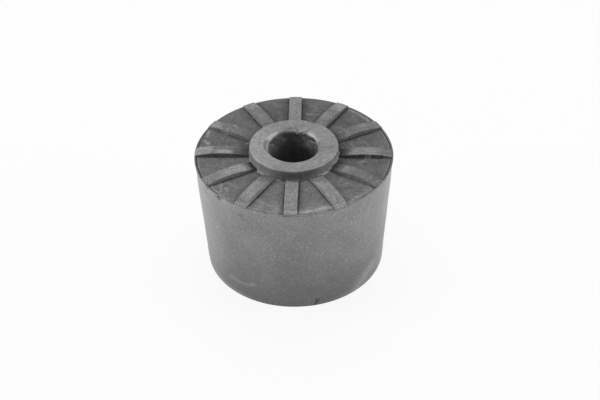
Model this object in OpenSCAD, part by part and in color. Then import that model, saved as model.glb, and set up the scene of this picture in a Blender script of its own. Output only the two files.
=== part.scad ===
// Rubber engine mount, moulded in one piece: a tapered cushion with a bolt bore through it,
// a locating collar, and a ring of crowned ribs on its bearing face.
// Millimetres, +Z up along the bore, origin at the middle of the foot.

/* [Body] */
// Diameter of the body at its rim
rim_d = 84; // [70:0.5:110]
// Diameter of the body at its foot
foot_d = 77; // [60:0.5:100]
// Height of the ribbed face above the foot
face_h = 52.7; // [30:0.1:80]
// Radius on the edge of the foot
foot_round = 0.6; // [0.2:0.1:3]

/* [Bore] */
// Diameter of the bolt bore
bore_d = 21; // [12:0.5:26]
// Width of the chamfer at each mouth of the bore
mouth_chamfer = 1.25; // [0.25:0.05:3]

/* [Collar] */
// Diameter of the collar round the bore
collar_d = 37.6; // [32:0.1:50]
// Height of the collar above the ribbed face
collar_h = 4.3; // [2:0.1:12]
// Radius on the upper edge of the collar
collar_round = 0.4; // [0.2:0.1:2]
// Width of the moulding seam round the foot of the collar
seam_w = 0.35; // [0.1:0.05:1]
// Height of the moulding seam above the ribbed face
seam_h = 0.75; // [0.3:0.05:1]

/* [Ribs] */
// Number of ribs round the face
rib_count = 12; // [3:1:18]
// Width of a rib across its top
rib_w = 5.5; // [2:0.1:7]
// Height of a rib above the face at the rim and at the collar
rib_end_h = 0.6; // [0.3:0.1:2]
// Rise of a rib's crown above its two ends
rib_rise = 1.4; // [0.4:0.1:4]
// Radius on the long edges of a rib
rib_round = 0.4; // [0.1:0.1:0.9]

/* [Rim] */
// Width of the lip round the rim
lip_w = 0.9; // [0.4:0.1:3]
// Height of the lip above the ribbed face
lip_h = 0.25; // [0.1:0.05:1]
// Width of the groove inside the lip
groove_w = 0.6; // [0.2:0.1:2]
// Depth of the groove below the ribbed face
groove_deep = 0.25; // [0.1:0.05:1]

/* [Hidden] */

$fn = 128;
// How far a cutter, or a shape that is trimmed later, reaches past the surface it meets
overshoot = 1;

rim_r = rim_d / 2;
foot_r = foot_d / 2;
collar_r = collar_d / 2;
bore_r = bore_d / 2;
top_h = face_h + collar_h;
taper = atan((rim_r - foot_r) / face_h);

// The crown of a rib is an arc over the span from the collar to the rim
rib_half_span = (rim_r - collar_r) / 2;
rib_mid_r = (rim_r + collar_r) / 2;
rib_top_h = face_h + rib_end_h + rib_rise;
crown_r = (rib_half_span ^ 2 + rib_rise ^ 2) / (2 * rib_rise);
crown_half_angle = asin((rib_half_span + overshoot) / crown_r);
rib_deep = rib_end_h + rib_rise + overshoot;

// Outline of everything outside the collar: foot, tapered wall, rim, and the space over the face
module outer_profile() {
    edge = [foot_r + foot_round * (tan(taper) - 1 / cos(taper)), foot_round];
    wall = edge + foot_round * [cos(taper), -sin(taper)];
    polygon([[0, 0], [edge.x, 0], wall, [rim_r, face_h], [rim_r, rib_top_h], [0, rib_top_h]]);
    translate(edge) circle(foot_round);
}

// The ribbed face's ground form, with the lip and its groove, left oversize at the rim
module face_profile() {
    lip_r = rim_r - lip_w;
    square([lip_r - groove_w, face_h]);
    square([lip_r + lip_w + overshoot, face_h - groove_deep]);
    translate([lip_r, 0]) square([lip_w + overshoot, face_h + lip_h]);
}

module collar_profile() {
    shoulder = [collar_r - collar_round, top_h - collar_round];
    square([shoulder.x, top_h]);
    square([collar_r, shoulder.y]);
    square([collar_r + seam_w, face_h + seam_h]);
    translate(shoulder) circle(collar_round);
}

// Cross-section of a rib: x is the distance from the axis of its crown, y runs across it
module rib_section() {
    edge = [crown_r - rib_round, rib_w / 2 - rib_round];
    root = crown_r - rib_deep;
    translate([root, -edge.y]) square([rib_deep, 2 * edge.y]);
    translate([root, -rib_w / 2]) square([rib_deep - rib_round, rib_w]);
    for (side = [-1, 1])
        translate([edge.x, side * edge.y]) circle(rib_round);
}

// One rib along +X, bent over its crown and longer than its span at both ends
module rib() {
    translate([rib_mid_r, 0, rib_top_h - crown_r])
        rotate([90, 0, 0])
            rotate([0, 0, 90 - crown_half_angle])
                rotate_extrude(angle = 2 * crown_half_angle) rib_section();
}

module ribbed_body() {
    intersection() {
        union() {
            rotate_extrude() face_profile();
            for (i = [0 : rib_count - 1])
                rotate([0, 0, i * 360 / rib_count]) rib();
        }
        rotate_extrude() outer_profile();
    }
}

module bore() {
    mouth_r = bore_r + mouth_chamfer + overshoot;
    mouth_deep = mouth_chamfer + overshoot;
    translate([0, 0, -overshoot]) cylinder(r = bore_r, h = top_h + 2 * overshoot);
    translate([0, 0, -overshoot]) cylinder(r1 = mouth_r, r2 = bore_r, h = mouth_deep);
    translate([0, 0, top_h - mouth_chamfer]) cylinder(r1 = bore_r, r2 = mouth_r, h = mouth_deep);
}

module rubber_mount() {
    color("dimgray")
        difference() {
            union() {
                ribbed_body();
                rotate_extrude() collar_profile();
            }
            bore();
        }
}

rubber_mount();
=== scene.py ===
import math

import bmesh
import bpy
import numpy as np
from mathutils import Matrix, Vector, noise


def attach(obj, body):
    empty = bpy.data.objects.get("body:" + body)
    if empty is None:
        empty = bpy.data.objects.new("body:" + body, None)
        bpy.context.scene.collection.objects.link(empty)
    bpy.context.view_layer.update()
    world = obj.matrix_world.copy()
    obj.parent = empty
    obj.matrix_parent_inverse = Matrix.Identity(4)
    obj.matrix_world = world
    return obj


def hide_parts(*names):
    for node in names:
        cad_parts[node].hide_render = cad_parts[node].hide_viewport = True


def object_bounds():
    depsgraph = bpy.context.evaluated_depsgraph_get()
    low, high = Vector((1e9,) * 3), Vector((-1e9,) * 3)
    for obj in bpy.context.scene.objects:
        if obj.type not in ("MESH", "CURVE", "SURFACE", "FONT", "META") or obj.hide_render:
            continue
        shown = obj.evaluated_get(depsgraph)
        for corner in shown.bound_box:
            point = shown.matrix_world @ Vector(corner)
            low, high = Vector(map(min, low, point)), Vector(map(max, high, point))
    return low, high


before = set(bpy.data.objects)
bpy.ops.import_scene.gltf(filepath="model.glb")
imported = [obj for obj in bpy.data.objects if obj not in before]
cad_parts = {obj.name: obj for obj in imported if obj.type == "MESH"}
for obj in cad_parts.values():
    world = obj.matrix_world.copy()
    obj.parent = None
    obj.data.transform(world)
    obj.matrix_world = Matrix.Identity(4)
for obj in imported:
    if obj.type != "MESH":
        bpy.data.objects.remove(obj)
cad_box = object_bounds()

# Rubber mount: one piece of black rubber, pressed in a mould that parts at the rim. Twelve crowned ribs run
# over its face from the collar to the rim. A rib with half the gap on either side of it is one share of the
# skin, drawn once as a grid that goes up the bore, over the face, down the wall and under the foot.

mm = 0.001
rim_r = round(cad_box[1][0] / mm, 1)
top_z = round(cad_box[1][2] / mm, 1)
foot_r, face_z, foot_round = 38.5, 52.7, 0.6
bore_r, bore_chamfer = 10.5, 1.25
collar_r, collar_round = 18.8, 0.4
rib_count, rib_width, rib_end, rib_rise = 12, 5.5, 0.6, 1.4
rib_edge, rib_root, gap_points = 0.3, 0.25, 10
lip_high, lip_round = 0.25, 0.2
seam_top = face_z + 0.85
face_start, face_end = collar_r + 0.5, rim_r - 2.05
foot_edge, foot_flat = foot_r - 0.56, foot_r - foot_round
weld_gap = 0.01 * mm

mouth_edge = bore_r + bore_chamfer
collar_edge = collar_r - collar_round
taper = (rim_r - foot_r) / face_z
half_share = math.pi / rib_count
half_span = (rim_r - collar_r) / 2
crown_mid = (rim_r + collar_r) / 2
crown_r = (half_span ** 2 + rib_rise ** 2) / (2 * rib_rise)


def rib_top(r):
    """Height of a rib's crown above the foot, at a distance from the bore's axis."""
    return face_z + rib_end + rib_rise - crown_r + math.sqrt(crown_r ** 2 - (r - crown_mid) ** 2)


def across_rib(r, ground):
    """Half a rib and half the gap beside it, at one radius: angles, heights, shares of the rib's height."""
    tall = rib_top(r) - ground
    edge = min(rib_edge, 0.5 * tall)
    root = min(rib_root, 0.3 * tall)
    side = rib_width / 2
    profile = [(t * (side - edge), tall) for t in (0, 0.25, 0.5, 0.75)]
    for a in np.radians((0, 22.5, 45, 67.5, 90)):
        profile.append((side - edge + edge * math.sin(a), tall - edge * (1 - math.cos(a))))
    profile += [(side, tall - edge + (root - tall + edge) * t) for t in (1 / 3, 2 / 3)]
    for a in np.radians((0, 30, 60, 90)):
        profile.append((side + root * (1 - math.cos(a)), root * (1 - math.sin(a))))
    angles = [math.asin(d / r) for d, h in profile]
    heights = [h for d, h in profile]
    angles += list(np.linspace(angles[-1], half_share, gap_points)[1:])
    heights += [0] * (gap_points - 1)
    return np.array(angles), ground + np.array(heights), np.array(heights) / tall


BORE, MOUTH, COLLAR_TOP, COLLAR_SIDE, SEAM, FACE, RIM, WALL, FOOT = range(9)
collar_angles = across_rib(collar_r, face_z)[0]
rim_angles, rim_heights, rim_share = across_rib(rim_r - lip_round, face_z + lip_high)
even_angles = np.linspace(0, half_share, len(collar_angles))
rows = []


def plain_row(r, z, row_zone, angles):
    rows.append((r, angles, np.full(len(angles), z), row_zone, np.zeros(len(angles))))


def ribbed_row(r, ground, row_zone):
    angles, heights, share = across_rib(r, ground)
    rows.append((r, angles, heights, row_zone, share))


# Heights of the rows up the bore, closest below the mouth
bore_heights = (8, 20, 32, 40, 44, 46.5, 48.2, 49.2, 50, 50.6, 51.2, 51.7, 52.2, 52.7, 53.2, 53.6, 54, 54.4,
                54.8, 55.2)
# Out from the collar, and up from the face
seam_profile = ((0.16, 0.74), (0.3, 0.6), (0.35, 0.36), (0.4, 0.1))
# In from the rim, and up from the face: ridge, groove and lip
rim_profile = ((1.85, 0.03), (1.67, 0.09), (1.5, 0.07), (1.3, 0), (1.15, -0.16), (1.0, -0.25), (0.8, -0.25),
               (0.65, -0.12), (0.55, 0.1), (0.45, 0.22), (0.3, 0.25), (0.18, 0.24))
wall_heights = [*np.arange(52.2, 48.5, -0.45), *np.linspace(48, 12, 33), *np.linspace(11.3, foot_round, 18)]

for t in (0, 0.5, 1):
    plain_row(bore_r + bore_chamfer * (1 - t), bore_chamfer * t, BORE, collar_angles)
for z in bore_heights:
    plain_row(bore_r, z, BORE, collar_angles)
for t in np.linspace(0, 1, 12):
    plain_row(bore_r + bore_chamfer * t, top_z - bore_chamfer * (1 - t), MOUTH, collar_angles)
for r in np.linspace(mouth_edge, collar_edge, 13)[1:]:
    plain_row(r, top_z, COLLAR_TOP, collar_angles)
for a in np.radians((18, 36, 54, 72, 90)):
    plain_row(collar_r - collar_round * (1 - math.sin(a)), top_z - collar_round * (1 - math.cos(a)),
              COLLAR_SIDE, collar_angles)
for z in np.linspace(top_z - collar_round, seam_top, 6)[1:]:
    plain_row(collar_r, z, COLLAR_SIDE, collar_angles)
for outward, z in seam_profile:
    angles, heights, share = across_rib(collar_r + outward, face_z)
    rows.append((collar_r + outward, angles, np.maximum(heights, face_z + z), SEAM, share))
for r in np.linspace(face_start, face_end, 36):
    ribbed_row(r, face_z, FACE)
for inward, z in rim_profile:
    ribbed_row(rim_r - inward, face_z + z, RIM)
rows.append((rim_r - 0.3 * lip_round, rim_angles, rim_heights - 0.3 * lip_round, RIM, rim_share))
rows.append((rim_r, rim_angles, rim_heights - lip_round, RIM, rim_share))
for z in wall_heights:
    follow = max(0.0, min(1.0, (z - 44) / 8))
    plain_row(foot_r + taper * z, z, WALL, even_angles + (rim_angles - even_angles) * follow)
for a in np.radians((22.5, 45, 67.5, 90)):
    plain_row(foot_edge + foot_round * math.cos(a), foot_round * (1 - math.sin(a)), FOOT, even_angles)
for t in np.linspace(0, 1, 5)[1:-1]:
    angles = even_angles + (collar_angles - even_angles) * t
    plain_row(foot_flat + (mouth_edge - foot_flat) * t, 0, FOOT, angles)


def both_halves(half, sign=1):
    """A whole row from one half of it, with the middle point once."""
    return np.r_[sign * half[:0:-1], half]


share_points, share_zone, share_rib, share_faces = [], [], [], []
for r, angles, heights, row_zone, share in rows:
    for a, z, rib_part in zip(both_halves(angles, -1), both_halves(heights), both_halves(share)):
        share_points.append((r * math.cos(a) * mm, r * math.sin(a) * mm, z * mm))
        share_zone.append(row_zone)
        share_rib.append(rib_part)
per_row = 2 * len(collar_angles) - 1
for i in range(len(rows)):
    here = i * per_row
    there = (i + 1) % len(rows) * per_row
    share_faces += [(here + j, there + j, there + j + 1, here + j + 1) for j in range(per_row - 1)]
share_mesh = bpy.data.meshes.new("rib_share")
share_mesh.from_pydata(share_points, [], share_faces)
share_mesh.attributes.new("zone", "INT", "POINT").data.foreach_set("value", share_zone)
share_mesh.attributes.new("up_rib", "FLOAT", "POINT").data.foreach_set("value", share_rib)
rubber = bpy.data.materials.new("moulded_rubber")
mount = bpy.data.objects.new("moulded_mount", share_mesh)
bpy.context.scene.collection.objects.link(mount)

ring = bpy.data.node_groups.new("ring_of_ribs", "GeometryNodeTree")
ring.interface.new_socket("Rib share", in_out="INPUT", socket_type="NodeSocketGeometry")
count_in = ring.interface.new_socket("Ribs", in_out="INPUT", socket_type="NodeSocketInt")
weld_in = ring.interface.new_socket("Weld", in_out="INPUT", socket_type="NodeSocketFloat")
finish_in = ring.interface.new_socket("Rubber", in_out="INPUT", socket_type="NodeSocketMaterial")
ring.interface.new_socket("Moulding", in_out="OUTPUT", socket_type="NodeSocketGeometry")
given = ring.nodes.new("NodeGroupInput")
stations = ring.nodes.new("GeometryNodePoints")
number = ring.nodes.new("GeometryNodeInputIndex")
pitch = ring.nodes.new("ShaderNodeMath")
pitch.operation = "DIVIDE"
pitch.inputs[0].default_value = 2 * math.pi
turn_by = ring.nodes.new("ShaderNodeMath")
turn_by.operation = "MULTIPLY"
about_bore = ring.nodes.new("ShaderNodeCombineXYZ")
as_turn = ring.nodes.new("FunctionNodeEulerToRotation")
repeat = ring.nodes.new("GeometryNodeInstanceOnPoints")
solid = ring.nodes.new("GeometryNodeRealizeInstances")
weld = ring.nodes.new("GeometryNodeMergeByDistance")
coat = ring.nodes.new("GeometryNodeSetMaterial")
pressed = ring.nodes.new("NodeGroupOutput")
for source, target in ((given.outputs["Ribs"], stations.inputs["Count"]),
                       (given.outputs["Ribs"], pitch.inputs[1]),
                       (number.outputs[0], turn_by.inputs[0]),
                       (pitch.outputs[0], turn_by.inputs[1]),
                       (turn_by.outputs[0], about_bore.inputs["Z"]),
                       (about_bore.outputs[0], as_turn.inputs[0]),
                       (stations.outputs[0], repeat.inputs["Points"]),
                       (given.outputs["Rib share"], repeat.inputs["Instance"]),
                       (as_turn.outputs[0], repeat.inputs["Rotation"]),
                       (repeat.outputs[0], solid.inputs[0]),
                       (solid.outputs[0], weld.inputs["Geometry"]),
                       (given.outputs["Weld"], weld.inputs["Distance"]),
                       (weld.outputs[0], coat.inputs["Geometry"]),
                       (given.outputs["Rubber"], coat.inputs["Material"]),
                       (coat.outputs[0], pressed.inputs[0])):
    ring.links.new(source, target)
press = mount.modifiers.new("press", "NODES")
press.node_group = ring
press[count_in.identifier] = rib_count
press[weld_in.identifier] = weld_gap
press[finish_in.identifier] = rubber
moulding = bpy.data.meshes.new_from_object(mount.evaluated_get(bpy.context.evaluated_depsgraph_get()))
mount.modifiers.remove(press)
mount.data = moulding
moulding.name = "moulded_mount"

# What the press, the trimming knife and handling left on the moulding: ribs not quite evenly spaced, the
# mouth of the bore cut by hand and torn at the back, flash at the foot of the collar, an uneven lip, and cuts
# and nicks in the wall.

count = len(moulding.vertices)
loose = np.empty(count * 3, np.float32)
moulding.vertices.foreach_get("co", loose)
point = loose.reshape(-1, 3).astype(float) / mm
zone = np.empty(count, np.int32)
moulding.attributes["zone"].data.foreach_get("value", zone)
up_rib = np.empty(count, np.float32)
moulding.attributes["up_rib"].data.foreach_get("value", up_rib)
radius = np.hypot(point[:, 0], point[:, 1])
height = point[:, 2].copy()
angle = np.degrees(np.arctan2(point[:, 1], point[:, 0])) % 360
rib_pitch = 360 // rib_count
which_rib = np.round(angle / rib_pitch).astype(int) % rib_count
across = radius * np.sin(np.radians(angle - which_rib * rib_pitch))
on_collar, at_mouth, in_bore = zone == COLLAR_TOP, zone == MOUTH, zone == BORE
on_face, on_rim, on_wall = zone == FACE, zone == RIM, zone == WALL
at_seam, on_side, on_foot = zone == SEAM, zone == COLLAR_SIDE, zone == FOOT
wall_mid_r = 40


def ease(value, low, high):
    """Nothing at the low value and one at the high value, smooth between them."""
    t = np.clip((value - low) / (high - low), 0, 1)
    return t * t * (3 - 2 * t)


def bell(value):
    """One at nothing, fading to either side over about one."""
    return np.exp(-value ** 2)


def round_the_bore(*pairs):
    """A value that changes with direction, through pairs of degrees and values."""
    directions = [a for a, v in pairs] + [pairs[0][0] + 360]
    values = [v for a, v in pairs] + [pairs[0][1]]
    return np.interp((angle - directions[0]) % 360 + directions[0], directions, values)


def waver(size, seed):
    """Smooth unevenness of about one, with lumps of the size given in millimetres."""
    shift = Vector((seed * 17.3, seed * 5.9, seed * 11.1))
    return np.array([noise.noise(Vector(p) + shift) for p in point / size]) * 1.6


def turned_from(centre):
    """Angle from a direction, in degrees, less than half a turn either way."""
    return (angle - centre + 180) % 360 - 180


def away(centre):
    """Distance along the skin from a direction, in millimetres."""
    return np.radians(turned_from(centre)) * radius


def between(first, last, soft=2.0):
    """One between two directions, in degrees, fading over the soft angle."""
    half = ((last - first) % 360) / 2
    return 1 - ease(np.abs(turned_from(first + half)), half - soft / 2, half + soft / 2)


def drawn_in(offset, extent, power):
    """How far a point moves towards the middle of a patch, so that the grid is finest there."""
    return extent * np.sign(offset) * np.abs(offset / extent) ** power - offset


def nearness(chart, path, width):
    """One on a line through points of a chart of the skin, fading over its width in millimetres."""
    best = np.full(count, 1e9)
    for start, end in zip(path, path[1:]):
        run = np.subtract(end, start)
        t = np.clip((chart - np.array(start)) @ run / (run @ run), 0, 1)
        best = np.minimum(best, np.hypot(*(chart - np.array(start) - t[:, None] * run).T))
    return bell(best / width)


def upright_line(r, width, path):
    """A line on an upright skin of the radius given, through pairs of degrees and heights."""
    chart = np.stack([np.radians(angle) * r, height], 1)
    return nearness(chart, [(math.radians(a) * r, z) for a, z in path], width)


def wall_line(width, *path):
    return upright_line(wall_mid_r, width, path) * (on_wall | on_rim)


def bore_line(width, *path):
    return upright_line(bore_r, width, path) * in_bore


def face_line(width, *path):
    """A line seen from above, through pairs of degrees and distances from the bore's axis."""
    chart = np.stack([radius * np.cos(np.radians(angle)), radius * np.sin(np.radians(angle))], 1)
    steps = np.linspace(0, len(path) - 1, 8 * len(path))
    bearing = np.radians(np.interp(steps, range(len(path)), [a for a, r in path]))
    distance = np.interp(steps, range(len(path)), [r for a, r in path])
    return nearness(chart, list(zip(distance * np.cos(bearing), distance * np.sin(bearing))), width)


# How far each rib lies off an even ring, in degrees
off_ring = round_the_bore((0, -0.9), (30, -0.2), (60, 0.4), (90, 0.35), (120, 0.15), (150, 0), (210, -0.1),
                          (240, 0), (270, -0.4), (300, -1.1), (330, -1.05))
angle = (angle + off_ring) % 360
broad, lumps, fine = waver(14, 1), waver(4.5, 2), waver(1.5, 3)

# Radius of the mouth's edge, drop of its chamfer, and how far the bore flares below it
mouth_r = 0.05 * fine + round_the_bore(
    (0, 11.0), (19, 11.0), (30, 11.25), (42, 11.6), (51, 11.85), (58, 11.6), (63, 11.9), (66, 11.9),
    (70, 11.6), (75, 11.2), (79, 11.5), (84, 12.9), (90, 13.1), (98, 13.0), (104, 12.6), (108, 12.2),
    (114, 11.6), (128, 11.9), (140, 12.2), (150, 12.5), (163, 12.65), (177, 12.6), (189, 12.5), (198, 12.2),
    (206, 11.9), (215, 11.95), (240, 11.95), (270, 12.25), (300, 12.2), (330, 11.85), (350, 11.2))
mouth_deep = round_the_bore(
    (0, 0.9), (10, 1.4), (29, 1.3), (43, 0.9), (54, 0.65), (66, 0.5), (76, 0.5), (90, 0.5), (99, 0.45),
    (111, 0.2), (125, 0.15), (140, 0.4), (155, 0.8), (172, 1.2), (190, 1.4), (215, 1.1), (270, 1.2),
    (330, 0.9))
mouth_wide = round_the_bore(
    (0, 0.05), (10, 0.05), (20, 0.2), (28, 0.3), (38, 0.3), (50, 0.12), (62, 0), (70, 0), (85, 0.2),
    (95, 0.3), (112, 0.6), (125, 0.65), (140, 0.6), (157, 0.5), (170, 0.32), (188, 0.33), (200, 0.5),
    (212, 0.6), (225, 0.35), (245, 0.1), (270, 0.15), (300, 0.3), (330, 0.35), (348, 0.25))
torn_deep, notch_deep, notch_wide = 0.15, 0.7, 0.45
part = np.clip((radius - bore_r) / bore_chamfer, 0, 1)
torn = between(62.5, 74, 3)
notch = bell(away(82.0) / 0.4)
flare = (mouth_wide + 0.1 * fine) * (1 - part)
radius[at_mouth] = (bore_r + flare + part * (mouth_r - bore_r) + notch_wide * notch * (1 - part))[at_mouth]
drop = mouth_deep * (1 - part) ** 1.1 + torn_deep * torn * (1 - ease(part, 0.6, 0.85))
drop += notch_deep * notch * (1 - ease(part, 0.1, 0.7))
height[at_mouth] = (top_z - drop)[at_mouth]
across_collar = (radius - mouth_edge) / (collar_edge - mouth_edge)
radius[on_collar] = (mouth_r + across_collar * (collar_edge - mouth_r))[on_collar]
height -= np.where(on_collar | at_mouth, 0.04 * (1 + broad) * (0.3 + 0.7 * ease(radius, 18.4, 16)), 0)
radius += np.where(in_bore, 0.12 * broad + 0.08 * lumps, 0) * ease(height, 2, 6)
radius += np.where(in_bore, mouth_wide, 0) * ease(height, 50, 55.2)

seam_wide = round_the_bore((0, 0.5), (60, 0.4), (120, 0.4), (180, 0.5), (214, 0.5), (220, 1.2), (239, 1.15),
                           (245, 0.5), (282, 0.5), (289, 1.1), (331, 1.2), (338, 0.6), (350, 1.2), (357, 1.2))
radius[at_seam] = (collar_r + (radius - collar_r) * seam_wide)[at_seam]
blob = 0.9 * bell(away(354) / 0.8) * bell((height - 54.1) / 0.8)
radius += np.where(on_side, blob + 0.05 * lumps, 0)

groove_open = round_the_bore(
    (0, 1), (20, 0.9), (35, 0.4), (60, 0.15), (150, 0.15), (165, 0.5), (180, 1), (206, 1), (211, 0.5),
    (215, 0.9), (222, 0.9), (225, 0.2), (229, 0.2), (231, 0.8), (236, 0.8), (239, 0.25), (246, 0.7),
    (267, 0.8), (274, 0.6), (282, 0.75), (287, 0.4), (291, 0.75), (298, 0.6), (305, 0.3), (320, 0.5),
    (335, 0.9))
worn_front, worn_back = between(206, 322, 8), between(35, 150, 20)
lip = np.clip(0.75 + 0.4 * lumps + 0.3 * fine, 0.2, 1.2) * (1 - 0.8 * worn_front) * (1 - 0.7 * worn_back)
in_gap = on_rim & (up_rib < 0.02)
raised = in_gap & (height > face_z)
sunk = in_gap & (height < face_z)
height[raised] = (face_z + (height - face_z) * lip)[raised]
height[sunk] = (face_z + (height - face_z) * groove_open)[sunk]
radius += np.where(on_rim & (radius < rim_r - 0.4), 0.12 * fine + 0.1 * lumps, 0) * worn_front
rib_end_wear = 0.3 * ease(radius, rim_r - 1.1, rim_r) * ease(up_rib, 0.3, 0.9) * (1 - between(15, 165, 10))
height -= np.where(on_rim, rib_end_wear, 0)
height += np.where(on_face, 0.05 * lumps + 0.02 * fine, 0)

# The grid is drawn together round the slot, which is narrower than the grid's own steps
slot_angle, slot_z, draw_wide, draw_high = 224.8, 51.75, 4, 1.8
aside = turned_from(slot_angle)
above = height - slot_z
close_by = on_wall & (np.abs(aside) < draw_wide) & (np.abs(above) < draw_high)
angle += close_by * (1 - ease(np.abs(above), draw_high / 2, draw_high)) * drawn_in(aside, draw_wide, 1.9)
gathered = close_by * (1 - ease(np.abs(aside), draw_wide / 2, draw_wide)) * drawn_in(above, draw_high, 1.5)
height += gathered
radius += gathered * taper

slot_deep, nick_deep, crack_deep, tear_deep = 0.4, 0.5, 0.2, 0.4
wall_hollow, foot_spread = 0.13, 0.1
slot = np.clip(2.5 * wall_line(0.42, (223.7, 51.9), (224.4, 51.7), (225.0, 51.5)), 0, 1)
nick = wall_line(0.42, (283.9, 4.2), (284.4, 2.6), (283.5, 0.3)) + wall_line(0.36, (286, 3.8), (284.3, 1.7))
nick = np.clip(nick, 0, 1)
crack = np.clip(1.3 * wall_line(0.32, (212.6, 53.15), (213.2, 52.9), (213.2, 52.35), (213.8, 51.85)), 0, 1)
rib_tear = np.exp(-(away(267.4) / 1.3) ** 4) * bell((height - 52.4) / 0.4) * (on_wall | on_rim)
cuts = slot_deep * slot + nick_deep * nick + crack_deep * crack + tear_deep * rib_tear
radius -= np.where(on_wall | on_rim, cuts, 0)
radius -= np.where(on_wall, 0.10 * broad + 0.03 * lumps, 0) * ease(height, 0, 3)
radius -= np.where(on_wall, wall_hollow * ease(height, 42, 50), 0)
radius += np.where(on_wall | on_foot & (radius > 37), foot_spread * (1 - ease(height, 4, 20)), 0)
radius = np.minimum(radius, rim_r)
height = np.clip(height, 0, top_z)
point = np.stack([radius * np.cos(np.radians(angle)), radius * np.sin(np.radians(angle)), height], 1)
moulding.vertices.foreach_set("co", (point * mm).astype(np.float32).ravel())
moulding.update()

# Bloom, dust and rubbing on the rubber, and painted light and shade: how pale each part of the skin is. A
# mark is a line with a tone to add, a width in millimetres, and the points that it runs through.

rib_bloom, flank_bloom, floor_bloom, rim_bloom, side_bloom = 0.05, 0.055, 0.04, 0.055, 0.06
tone = np.select([in_bore, at_mouth, on_collar, at_seam], [0.14, 0.25, 0.255, 0.18], 0.2)


def marks(line, *drawn):
    """The sum of marks that one kind of line draws."""
    return sum(amount * line(width, *path) for amount, width, *path in drawn)


# Rib: tone of its top where nothing rubbed it, tone of its flanks with painted light and shade for the way
# they face the lamps, the share of tone left in the painted shade towards the collar, and up to what distance
# from the axis
rib_tops = {0: (0.11, 0.092, 0.1, 26.5), 30: (0.11, 0.18, 0.2, 25), 60: (0.12, 0.19, 0.8, 22),
            90: (0.18, 0.18, 0.65, 24), 120: (0.12, 0.34, 0.9, 21.5), 150: (0.11, 0.22, 0.55, 26),
            180: (0.115, 0.15, 0.3, 28.5), 210: (0.17, 0.29, 0, 23.8), 240: (0.19, 0.4, 0.36, 28),
            270: (0.183, 0.2, 0.38, 23.5), 300: (0.12, 0.43, 0.62, 22), 330: (0.115, 0.27, 0.1, 26)}
# Rib, tone, first and last distance from the axis, lean of the start across the rib, the sides that the rub
# lies between in half widths of the rib, softness
rubs = ((0, 0.187, 24.4, 36.5, 2.0, -1.4, 0.7, 0.5), (0, 0.105, 38, 46, 0, -1.4, 1.4, 1.5),
        (30, 0.14, 29.6, 46, 5.0, -0.1, 1.4, 0.35), (30, 0.165, 38.5, 46, 0, -1.4, 1.4, 1.2),
        (60, 0.215, 35, 46, 0, -1.4, 1.4, 2), (60, 0.15, 27, 32, 1, -0.4, 0.9, 1),
        (120, 0.195, 35.5, 46, -1.5, -1.4, 1.4, 1.5), (120, 0.14, 28, 35, 2, 0.1, 1.4, 1.2),
        (150, 0.2, 36.8, 46, -1, -1.4, 1.4, 0.9), (150, 0.2, 29.6, 31.5, 0, -1.4, -0.6, 0.6),
        (180, 0.24, 34.5, 46, 0.5, -1.4, 1.4, 0.45), (180, 0.25, 25.5, 33, -1.2, 0.1, 1.4, 0.8),
        (210, 0.22, 23.3, 35, 0, -1.4, 1.4, 0.4), (210, 0.24, 23.5, 25.5, 1, -1.0, 0.8, 0.5),
        (240, 0.225, 27, 34, 0, -1.2, -0.3, 1.5), (240, 0.215, 31.5, 36.5, 0, -1.2, 0.9, 1),
        (240, 0.125, 38, 46, 0, -1.4, 0.1, 1), (270, 0.2, 31, 46, 0, -1.4, 1.4, 3),
        (300, 0.21, 25.5, 46, 1.5, -1.4, 0.2, 0.6), (300, 0.2, 27.5, 46, -2, 0, 1.4, 0.6),
        (330, 0.175, 24.5, 26.2, 0.6, -1.4, 1.4, 0.5), (330, 0.112, 37.5, 46, 0, -1.4, 1.4, 1.5))
side_soft, end_soft = 0.25, 2
over = across / (rib_width / 2)
ragged = radius + 0.7 * lumps + 0.4 * fine
rib_tone, flank_tone = np.zeros(count), np.zeros(count)
for rib, (plain, flank, inner_share, until) in rib_tops.items():
    worn = np.full(count, plain)
    for rubbed_rib, pale, first, last, lean, side_from, side_to, soft in rubs:
        if rubbed_rib == rib:
            rubbed = ease(ragged - first - lean * over, -soft, soft)
            rubbed *= 1 - ease(ragged, last - end_soft, last + end_soft)
            rubbed *= ease(over, side_from - side_soft, side_from + side_soft)
            rubbed *= 1 - ease(over, side_to - side_soft, side_to + side_soft)
            worn += (pale - worn) * rubbed
    # Painted shade on the rib's top and flanks towards the collar
    darker = inner_share + (1 - inner_share) * ease(radius, 19.3, until)
    this_rib = which_rib == rib // rib_pitch
    rib_tone = np.where(this_rib, (worn + rib_bloom) * darker, rib_tone)
    flank_tone = np.where(this_rib, (flank + flank_bloom) * (0.5 + 0.5 * darker), flank_tone)
# Painted shade along the flank just under the rib's top edge
flank_tone *= 1 - 0.3 * bell((up_rib - 0.82) / 0.1)

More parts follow.
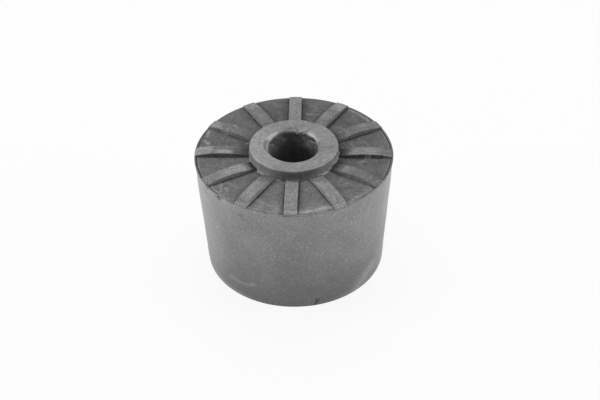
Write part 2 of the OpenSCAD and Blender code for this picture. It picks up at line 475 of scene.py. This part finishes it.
floor_paler = round_the_bore((0, 0.84), (15, 0.78), (45, 0.72), (75, 0.8), (105, 0.8), (135, 0.9),
                             (165, 0.84), (195, 1), (225, 1.12), (255, 1.4), (285, 1.34), (315, 1.06),
                             (345, 0.8))
floor_tone = floor_bloom + 0.09 * (1 + 0.2 * ease(radius, 31, 40)) * floor_paler
# Painted shade on the floor close to the collar, at the sides and the back
shaded = np.clip(between(325, 50, 20) + 0.6 * between(60, 150, 20) + 0.9 * between(150, 180, 10), 0, 1)
floor_tone *= 1 - 0.62 * shaded * (1 - ease(radius, 19.2, 26))
# Pale scratches and smears on the floor; the lines at about 40.2 mm from 36.8 to 54 degrees are painted
# highlight on the ridge inside the rim
floor_tone += marks(
    face_line, (0.13, 0.45, (80, 29.5), (72, 30.3)), (0.05, 0.5, (81, 28.6), (75.6, 31.7)),
    (0.07, 0.4, (21, 29.8), (9, 32.3)), (0.09, 0.4, (16, 25.3), (12, 25.8)),
    (0.05, 0.9, (346, 27.5), (350, 30)), (-0.09, 0.5, (346.1, 30.8), (346.4, 30.9)),
    (0.04, 0.8, (352.8, 37), (355, 38.8)),
    (0.08, 0.4, (45, 26.5), (40, 28)), (0.16, 0.5, (160.2, 21.2), (160.4, 21.5)),
    (0.08, 0.45, (245.3, 35), (251, 35.6), (260, 37.3), (263.5, 38.9)),
    (0.15, 0.95, (274.6, 39.6), (281, 39.6), (287, 38.9), (294.5, 39.4)),
    (0.07, 0.8, (306, 39.8), (313, 39.8), (321, 39.8)), (0.04, 1.2, (192, 30), (195, 33)),
    (0.08, 1.0, (351, 20), (354, 21)), (0.1, 0.45, (130.7, 27.1), (131, 27.2)),
    (0.08, 0.45, (134.2, 30.7), (134.5, 30.8)), (0.1, 0.4, (11.4, 21.1), (11.8, 21.2)),
    (0.12, 0.4, (316.6, 30.1), (316.9, 30.2)), (0.1, 0.4, (281.8, 24.6), (282.1, 24.7)),
    (0.15, 0.35, (54, 40.3), (46, 40.2), (38, 40.3)), (0.16, 0.45, (37.6, 40.1), (36.8, 40.0)),
    (0.09, 0.6, (219.5, 33.2), (222.5, 33.0)), (0.09, 0.55, (221.9, 36.8), (225.3, 37.3)),
    (0.09, 0.5, (225.3, 33.3), (225.7, 33.3)), (0.07, 0.7, (217.5, 36.5), (218.5, 37.5)),
    (0.07, 0.7, (221.3, 38.5), (222, 39)), (0.06, 1.0, (323.3, 32.5), (324.5, 38)),
    (0.03, 0.3, (66, 36), (64.5, 39.5)), (0.03, 0.3, (117.4, 41), (114.5, 38)))
floor_tone += ease(fine, -0.4, 0.8) * marks(
    face_line, (0.06, 2.0, (218, 37.5), (221, 35), (225, 38), (230, 39.5)))
floor_tone += ease(fine + lumps, -1, 0.8) * marks(face_line, (0.035, 1.6, (248, 38.5), (256, 39), (263, 40)))
floor_tone += ease(fine, -0.8, 0.5) * marks(
    face_line, (0.18, 0.6, (156, 40.7), (160.7, 39.9), (164.8, 39.4), (167, 38.8)),
    (0.18, 0.7, (167.5, 38.5), (169.5, 37.2)))
# Painted shade on the floor beside each rib; the negative strength beside rib 330 paints light there
# Rib: shade at its foot, then strength and width of the wider shade clockwise and anticlockwise of it
foot_shade = {0: (0.25, 0, 1, 0, 1), 30: (0.6, 0, 1, 0.15, 3), 60: (0.75, 0.55, 1.8, 0.4, 2.2),
              90: (0.65, 0.58, 2.3, 0.42, 3), 120: (0.55, 0.55, 2.6, 0.28, 1.8), 150: (0.2, 0, 1, 0, 1),
              180: (0.55, 0, 1, 0, 1), 210: (0.65, 0, 1, 0, 1), 240: (0.75, 0.4, 2.6, 0.4, 1.3),
              270: (0.75, 0.38, 1.7, 0.62, 1.5), 300: (0.6, 0, 1, 0.38, 2.2), 330: (0.15, -0.25, 1.6, 0.2, 3)}
from_rib = np.maximum(np.abs(across) - rib_width / 2, 0)
on_lip = ease(radius, 40.9, 41.4)
for rib, (at_foot, clockwise, width, anticlockwise, other_width) in foot_shade.items():
    one_side = clockwise * bell(from_rib / width)
    other_side = anticlockwise * bell(from_rib / other_width)
    shadow = (1 - at_foot * bell(from_rib / 0.45)) * (1 - np.where(across < 0, one_side, other_side))
    floor_tone *= np.where(which_rib == rib // rib_pitch, shadow + (1 - shadow) * on_lip, 1)
ridge = ease(radius, 40.25, 40.45) * (1 - ease(radius, 40.7, 40.9))
groove = ease(radius, 40.85, 41.0) * (1 - ease(radius, 41.25, 41.42))
lip_top = ease(radius, 41.35, 41.5)
lip_tone = round_the_bore((0, 0.16), (25, 0.15), (45, 0.1), (90, 0.11), (135, 0.11), (160, 0.09), (178, 0.07),
                          (204, 0.07), (209, 0.1), (222, 0.095), (228, 0.13), (300, 0.14), (318, 0.14),
                          (328, 0.15), (340, 0.16))
edge_tone = round_the_bore((0, 0.075), (25, 0.08), (45, 0.1), (90, 0.11), (135, 0.11), (160, 0.09),
                           (178, 0.1), (202, 0.1), (207, 0.2), (330, 0.2), (336, 0.1), (342, 0.075))
# Painted highlight along the ridge inside the rim
ridge_highlight = between(183, 208, 4) + between(212, 223, 3) + between(331, 27, 8)
ridge_highlight += ease(fine, -0.5, 0.6) * between(302, 330, 4)
floor_tone += 0.075 * ridge * np.clip(ridge_highlight, 0, 1)
# Painted shade in the groove inside the lip
floor_tone += (0.03 - floor_tone) * groove * ease(groove_open, 0.2, 1)
floor_tone += (lip_tone + rim_bloom - floor_tone) * lip_top
tops = floor_tone + (flank_tone - floor_tone) * ease(up_rib, 0.04, 0.2)
tops += (rib_tone - tops) * ease(up_rib, 0.78, 0.95)
rim_edge = ease(radius, 41.7, 41.86) * np.maximum(1 - ease(up_rib, 0.1, 0.4), ease(radius, 41.8, 41.96))
tops += (edge_tone + rim_bloom - tops) * rim_edge
# Pale marks on the ribs and at their feet; the one near 275 degrees at the rim lessens the painted shade
# beside rib 270
tops += marks(
    face_line, (0.12, 0.5, (155.4, 34.9), (154.8, 33.6), (155, 31.8)),
    (0.15, 0.4, (125.9, 32.2), (125.7, 32.5)), (0.2, 0.35, (353.9, 30.6), (353.9, 30.8)),
    (0.2, 0.35, (354.1, 31.9), (354.1, 32.1)),
    (0.06, 0.9, (233, 20), (247, 20), (255, 20.4), (263, 21)), (0.06, 0.7, (278, 21.2), (283, 21.2)),
    (0.05, 0.7, (275.5, 37.5), (275, 41)), (0.07, 0.6, (354.8, 38.5), (355.3, 41)))
tone = np.where(on_face | on_rim, tops, tone)

# Painted light and shade on the collar's side, darkest where it faces the front
side_tone_lit_and_shaded = round_the_bore((0, 0.2), (180, 0.18), (195, 0.19), (225, 0.26), (245, 0.245), (265, 0.16),
                           (290, 0.15), (300, 0.2), (315, 0.235), (345, 0.235))
low_side = (1 - ease(height, 53.6, 55.4)) * (between(192, 252, 10) + between(332, 352, 6))
tone = np.where(on_side, side_tone_lit_and_shaded + side_bloom + 0.07 * low_side, tone)
tone += np.where(at_seam, 0.09 * low_side, 0)

wall_tone = round_the_bore((0, 0.34), (90, 0.34), (180, 0.35), (195, 0.36), (215, 0.33), (235, 0.305),
                           (255, 0.345), (270, 0.36), (285, 0.36), (300, 0.335), (315, 0.31), (330, 0.315),
                           (345, 0.35))
# Painted shade: the wall grows darker towards the foot, and the lowest 3 mm are a little paler again
wall_tone += 0.03 * (1 - ease(height, 0, 3)) - 0.14 * (1 - ease(height, -2, 46)) + 0.02 * broad
foot_dust = 0.1 * between(203, 242, 12) + 0.085 * between(298, 345, 12)
wall_tone += (1 - ease(height, 0.5, 4)) * foot_dust
tone = np.where(on_wall, wall_tone, tone)
# Scuffs and smears on the wall, with painted light in the broad pale band high on the front and painted shade
# in the thin dark line under the rim's lip at 52.3 mm
tone += marks(
    wall_line, (0.13, 0.75, (227, 8.7), (233, 8.3), (239, 8.3), (245.5, 10.1)),
    (0.15, 3.2, (315, 2.5), (321, 6), (328, 8)), (0.02, 0.8, (256, 3.2), (273, 3.8)),
    (-0.05, 1.5, (293.5, 13.8), (294.5, 13.5)), (-0.22, 0.5, (240.3, 48.4), (240.5, 48.3)),
    (0.05, 0.7, (232.5, 48.1), (231.6, 42.3)), (0.05, 0.6, (217.3, 34.9), (221, 30.8)),
    (0.06, 0.5, (313, 47), (317, 51.5)), (0.06, 0.5, (318.5, 43.5), (323, 49.5)),
    (0.05, 0.5, (316, 40.5), (319.5, 44.5)), (0.05, 0.6, (317.5, 29.5), (322.5, 31.5)),
    (0.04, 0.6, (311, 36.5), (314, 39)), (0.04, 0.5, (320, 46.5), (322, 51)),
    (-0.03, 1.2, (298.4, 39.2), (303.6, 40.5)), (0.05, 1.0, (207, 44.5), (212, 44)),
    (0.06, 0.6, (214.5, 50.8), (216.5, 49.9)), (0.06, 0.6, (208, 44.8), (208.8, 43.4)),
    (0.015, 4, (250, 37), (258, 36)), (0.052, 5, (222, 53), (298, 53)), (-0.022, 8, (210, 37), (242, 34)),
    (-0.025, 7, (278, 34), (303, 35)), (-0.12, 0.25, (263, 52.3), (304, 52.3)))
flash_from = np.where(up_rib > 0.3, 19.06, 19.12)
flash = 0.36 * between(220, 238, 5) + 0.35 * between(250, 254, 2) + 0.43 * between(302, 326, 3)
tone += np.where(at_seam | on_face & (radius < 19.4), flash * ease(radius, flash_from, flash_from + 0.08), 0)

streaks = ease(0.4 * broad + 0.7 * lumps + 0.5 * fine, -0.3, 1.0) * ease(height, 46, 54.5)
tone += np.where(in_bore, streaks * (0.08 + 0.18 * between(5, 80, 20)), 0)
tone += marks(
    bore_line, (0.3, 0.35, (69.7, 53.8), (56.6, 53.0), (41, 53.4), (28, 54.4), (16, 55.2)),
    (0.16, 0.45, (75.9, 52.5), (67.3, 52.1), (59.5, 51)), (0.2, 0.6, (62.2, 51.4), (52.5, 49.9), (48, 48.7)),
    (0.1, 0.4, (62, 53.8), (54, 53), (47, 51.6)), (0.12, 0.3, (36, 52.4), (28, 51.5), (22, 51.8)),
    (0.1, 0.3, (20, 53.6), (10, 53.2)), (0.12, 0.4, (135, 54.9), (124, 54.6), (116, 53)),
    (0.12, 0.4, (163, 54.9), (147, 53.2), (142, 50.5)), (0.16, 0.3, (196, 53), (182, 52.2), (170, 51)),
    (0.1, 0.35, (156, 50.5), (141.4, 50.1), (125.9, 50.3)),
    (0.06, 0.4, (157.6, 53.6), (134.3, 52.6), (112.5, 52.3)), (0.12, 0.7, (76, 54.6), (62, 54.2), (50, 54.4)),
    (-0.07, 0.4, (194, 54), (182, 53.2), (168, 51.8)), (0.1, 0.3, (192, 55), (180, 54.6)))

# Painted highlight on the chamfer at the back right and back left, painted shade on it at the back and inside
# the crescent at the left
cut_highlight = 0.62 * between(18, 58, 9) * (0.25 + 0.75 * (1 - ease(part, 0.1, 0.9)))
cut_highlight += 0.24 * between(127, 158, 12)
cut_shade = 0.075 * between(84, 112, 8) * ease(part, 0.1, 0.4)
hollow_shade = between(165, 204, 6) * (0.09 * ease(part, 0.45, 0.65) - 0.02)
crease = 0.35 * between(79, 82.5, 1.5) * (1 - ease(part, 0.2, 0.7))
tone += np.where(at_mouth, cut_highlight - cut_shade - hollow_shade + crease, 0)
tone -= np.where(on_collar, 0.05 * bell((radius - mouth_r - 0.15) / 0.2), 0) * between(118, 162, 8)
# Painted shadow under the torn shred
shred_shadow = bell((part - 0.45 - 0.04 * (72 - angle)) / 0.1) * torn
tone += np.where(at_mouth, (0.03 - tone) * shred_shadow, 0)
collar_tone = 0.045 * between(140, 235, 50) - 0.02 * between(60, 120, 30) - 0.025 * between(335, 5, 20)
# Painted highlight on the collar's top near its edge at the front left
collar_tone += 0.06 * between(188, 242, 10) * bell((radius - 17.75) / 0.16)
collar_tone += marks(
    face_line, (0.08, 0.3, (318, 16.7), (330, 17.1), (342, 17.6)), (0.1, 0.35, (93.3, 14.4), (93.8, 14.4)),
    (0.12, 0.35, (74.6, 17.6), (74.9, 17.6)))
tone += np.where(on_collar, collar_tone, 0)
tone += np.where((at_mouth | on_collar) & (radius < 13.4), 0.05 * between(64, 92, 6), 0)
# Painted highlight on the collar's rounded edge at the front left and front right
edge_highlight = between(186, 244, 10) + between(298, 346, 10)
tone += np.where(radius < 18.75, 0.08 * bell((radius - 18.45) / 0.15), 0) * edge_highlight
even = on_wall | on_foot
speckle = np.where(even, 0, np.where(at_mouth, 0.06, 0.16))
tone *= 1 + np.where(even, 0.03, 0.09) * lumps + speckle * fine
# Painted shade in the slot, the nick, the crack and the tear
dark = np.clip(slot + 0.65 * nick + 0.8 * crack + 0.8 * rib_tear, 0, 1)
tone += (0.02 - tone) * dark
tone = np.clip(tone, 0.015, 0.8)
grit = np.where(on_face | on_rim, np.where(up_rib > 0.7, 1.3, 1.15), np.where(on_collar | at_mouth, 0.6, 1.0))
moulding.attributes.new("tone", "FLOAT", "POINT").data.foreach_set("value", tone.astype(np.float32))
moulding.attributes.new("grit", "FLOAT", "POINT").data.foreach_set("value", grit.astype(np.float32))
dull = bpy.data.materials.new("dull_rubber")
moulding.materials.clear()
moulding.materials.append(rubber)
moulding.materials.append(dull)
for polygon in moulding.polygons:
    polygon.material_index = int(max(zone[v] for v in polygon.vertices) < WALL)

# Shreds of flash that the knife tore and left hanging at the back of the bore's mouth. Each is a flat strip
# along a bent spine, given as degrees, distances from the axis and heights, then width, thickness and the
# tone of its painted highlight.

hoop_sides, shred_grit, dull_slot = 6, 0.5, 1
shreds = ((((80.5, 10.8, 56.45), (78.3, 10.35, 56.72), (75.0, 10.5, 56.86), (70.5, 10.95, 56.88),
            (67.0, 11.5, 56.87), (64.8, 12.0, 56.84)), 0.36, 0.14, 1.0),
          (((88.5, 10.75, 56.4), (87.0, 10.5, 56.1), (85.0, 10.3, 55.75), (82.8, 10.2, 55.35)),
           0.38, 0.14, 0.75))
body = bmesh.new()
body.from_mesh(moulding)
shade_of = body.verts.layers.float["tone"]
grit_of = body.verts.layers.float["grit"]
for course, width, thickness, pale in shreds:
    knots = [Vector((r * math.cos(math.radians(a)), r * math.sin(math.radians(a)), z)) for a, r, z in course]
    spine = []
    for i in range(len(knots) - 1):
        before, after = knots[max(i - 1, 0)], knots[min(i + 2, len(knots) - 1)]
        for t in (0, 0.25, 0.5, 0.75):
            bend = (knots[i] - before + after - knots[i + 1]) * -0.12 * t * (1 - t)
            spine.append(knots[i].lerp(knots[i + 1], t) + bend)
    spine.append(knots[-1])
    hoops = []
    for i, centre in enumerate(spine):
        forward = (spine[min(i + 1, len(spine) - 1)] - spine[max(i - 1, 0)]).normalized()
        to_axis = Vector((-centre.x, -centre.y, 0)).normalized()
        flat_way = (to_axis + Vector((0, 0, -0.6))).normalized()
        flat_way = (flat_way - forward * flat_way.dot(forward)).normalized()
        thin_way = forward.cross(flat_way)
        along = i / (len(spine) - 1)
        half_width = 0.5 * width * (0.35 + 0.65 * math.sin(math.pi * min(1, 0.25 + 0.75 * along)) ** 0.7)
        hoop = []
        for k in range(hoop_sides):
            turn = 2 * math.pi * k / hoop_sides
            spread = flat_way * (half_width * math.cos(turn)) + thin_way * (0.5 * thickness * math.sin(turn))
            vertex = body.verts.new((centre + spread) * mm)
            # Painted highlight, growing towards the shred's free end
            vertex[shade_of] = pale * (0.3 + 0.7 * along)
            vertex[grit_of] = shred_grit
            hoop.append(vertex)
        hoops.append(hoop)
    for low, high in zip(hoops, hoops[1:]):
        for k in range(hoop_sides):
            after_k = (k + 1) % hoop_sides
            body.faces.new((low[k], low[after_k], high[after_k], high[k])).material_index = dull_slot
    for end in (hoops[0][::-1], hoops[-1]):
        body.faces.new(end).material_index = dull_slot
bmesh.ops.recalc_face_normals(body, faces=body.faces)
body.to_mesh(moulding)
body.free()
for polygon in moulding.polygons:
    polygon.use_smooth = True

# Skin of the rubber: clouds of bloom, grain and specks of dust over the tone of each part. The wall and the
# foot shine a little, and everything above them is dull.


def node(kind, **settings):
    made = tree.nodes.new(kind)
    for name, value in settings.items():
        setattr(made, name, value)
    return made


def link(source, target):
    tree.links.new(source, target)


def level(source, low, high, to_low, to_high):
    """A value carried from one range to another."""
    made = node("ShaderNodeMapRange")
    for name, value in (("From Min", low), ("From Max", high), ("To Min", to_low), ("To Max", to_high)):
        made.inputs[name].default_value = value
    link(source, made.inputs["Value"])
    return made.outputs["Result"]


def cloud_level(source, to_low, to_high):
    """A cloud carried to a range, from the values that most of it lies between."""
    return level(source, 0.3, 0.7, to_low, to_high)


def both(operation, first, second):
    made = node("ShaderNodeMath", operation=operation)
    link(first, made.inputs[0])
    link(second, made.inputs[1])
    return made.outputs[0]


def cloud(scale, detail):
    made = node("ShaderNodeTexNoise")
    made.inputs["Scale"].default_value = scale
    made.inputs["Detail"].default_value = detail
    made.inputs["Roughness"].default_value = 0.55
    link(on_object.outputs["Object"], made.inputs["Vector"])
    return made.outputs["Fac"]


def specks(scale, size, bright):
    """Dust: a grain of the size given, in metres, wherever a scattered point lies on the skin."""
    made = node("ShaderNodeTexVoronoi")
    made.inputs["Scale"].default_value = scale
    link(on_object.outputs["Object"], made.inputs["Vector"])
    return level(made.outputs["Distance"], size * scale * 0.5, size * scale, bright, 0)


for finish, gloss, sheen, smooth, coarse in ((rubber, 0.5, 0.12, 0.4, 0.48), (dull, 0.2, 0.0, 0.7, 0.85)):
    finish.use_nodes = True
    tree = finish.node_tree
    shader = tree.nodes["Principled BSDF"]
    shader.inputs["Specular IOR Level"].default_value = gloss
    shader.inputs["Sheen Weight"].default_value = sheen
    shader.inputs["Sheen Roughness"].default_value = 0.4
    on_object = node("ShaderNodeTexCoord")
    painted = node("ShaderNodeAttribute", attribute_name="tone")
    gritty = node("ShaderNodeAttribute", attribute_name="grit")
    bloom, grain, dust = cloud(120, 5), cloud(1300, 3), cloud(3000, 2)
    shade = both("MULTIPLY", painted.outputs["Fac"], cloud_level(bloom, 0.92, 1.08))
    grains = both("ADD", cloud_level(grain, -0.2, 0.2), cloud_level(dust, -0.16, 0.16))
    dusty = both("ADD", specks(420, 0.4 * mm, 0.75), specks(800, 0.26 * mm, 0.5))
    rough = both("MULTIPLY", both("ADD", grains, dusty), gritty.outputs["Fac"])
    shade = both("ADD", shade, both("MULTIPLY", shade, rough))
    link(shade, shader.inputs["Base Color"])
    link(cloud_level(bloom, smooth, coarse), shader.inputs["Roughness"])
    skin = node("ShaderNodeBump")
    skin.inputs["Strength"].default_value = 0.25
    skin.inputs["Distance"].default_value = 0.2 * mm
    link(both("ADD", grain, dust), skin.inputs["Height"])
    link(skin.outputs["Normal"], shader.inputs["Normal"])

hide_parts("rubber_mount")
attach(mount, "root")

# Floor and light: a white table that runs out of sight, with a soft box overhead and one at each side. The
# camera stands in front and looks down on the mount. Metres and watts.

table_reach, table_z = 4, -0.0001
table_white, room_glow = 0.9, 0.09
floor_mesh = bpy.data.meshes.new("white_table")
corners = [(x * table_reach, y * table_reach, table_z) for x, y in ((-1, -1), (1, -1), (1, 1), (-1, 1))]
floor_mesh.from_pydata(corners, [], [(0, 1, 2, 3)])
floor = bpy.data.objects.new("white_table", floor_mesh)
bpy.context.scene.collection.objects.link(floor)


def seen_white(dark_level, white_level):
    """The white level for what the camera sees, also in a reflection, and the dark level for other light."""
    ray = node("ShaderNodeLightPath")
    mirrored = both("MAXIMUM", ray.outputs["Is Glossy Ray"], ray.outputs["Is Transmission Ray"])
    return level(both("MAXIMUM", ray.outputs["Is Camera Ray"], mirrored), 0, 1, dark_level, white_level)


white = bpy.data.materials.new("white_table")
white.use_nodes = True
tree = white.node_tree
board = tree.nodes["Principled BSDF"]
board.inputs["Base Color"].default_value = (table_white, table_white, table_white, 1)
board.inputs["Roughness"].default_value = 0.9
glow = node("ShaderNodeEmission")
blend = node("ShaderNodeMixShader")
link(seen_white(0, 0.9), blend.inputs[0])
link(board.outputs[0], blend.inputs[1])
link(glow.outputs[0], blend.inputs[2])
link(blend.outputs[0], tree.nodes["Material Output"].inputs["Surface"])
floor_mesh.materials.append(white)

world = bpy.data.worlds.new("white_room")
bpy.context.scene.world = world
world.use_nodes = True
tree = world.node_tree
room = tree.nodes["Background"]
room.inputs["Color"].default_value = (1, 1, 1, 1)
link(seen_white(room_glow, 1), room.inputs["Strength"])

lit_point = Vector((0, 0, 0.04))


def soft_box(name, centre, width, tall, watts):
    lamp = bpy.data.lights.new(name, "AREA")
    lamp.shape = "RECTANGLE"
    lamp.size, lamp.size_y, lamp.energy = width, tall, watts
    holder = bpy.data.objects.new(name, lamp)
    bpy.context.scene.collection.objects.link(holder)
    turned = (lit_point - Vector(centre)).to_track_quat("-Z", "Y").to_matrix().to_4x4()
    holder.matrix_world = Matrix.Translation(centre) @ turned


soft_box("box_overhead", (0.0, 0.4, 1.1), 1.4, 1.4, 12.7)
soft_box("box_left", (-0.9, -0.05, 0.35), 0.5, 0.7, 3.4)
soft_box("box_right", (0.9, -0.05, 0.35), 0.5, 0.7, 2.8)

lens = bpy.data.cameras.new("camera")
lens.sensor_fit, lens.sensor_width, lens.lens = "HORIZONTAL", 36, 77.1
camera = bpy.data.objects.new("camera", lens)
bpy.context.scene.collection.objects.link(camera)
stand = Vector((0.017, -0.43794, 0.3742))
right = Vector((0.99965, 0.02305, -0.01336))
up = Vector((-0.00383, 0.62053, 0.78417))
back = Vector((0.02636, -0.78384, 0.6204))
camera.matrix_world = Matrix.Translation(stand) @ Matrix((right, up, back)).transposed().to_4x4()
bpy.context.scene.camera = camera
bpy.context.scene.view_settings.view_transform = "Standard"
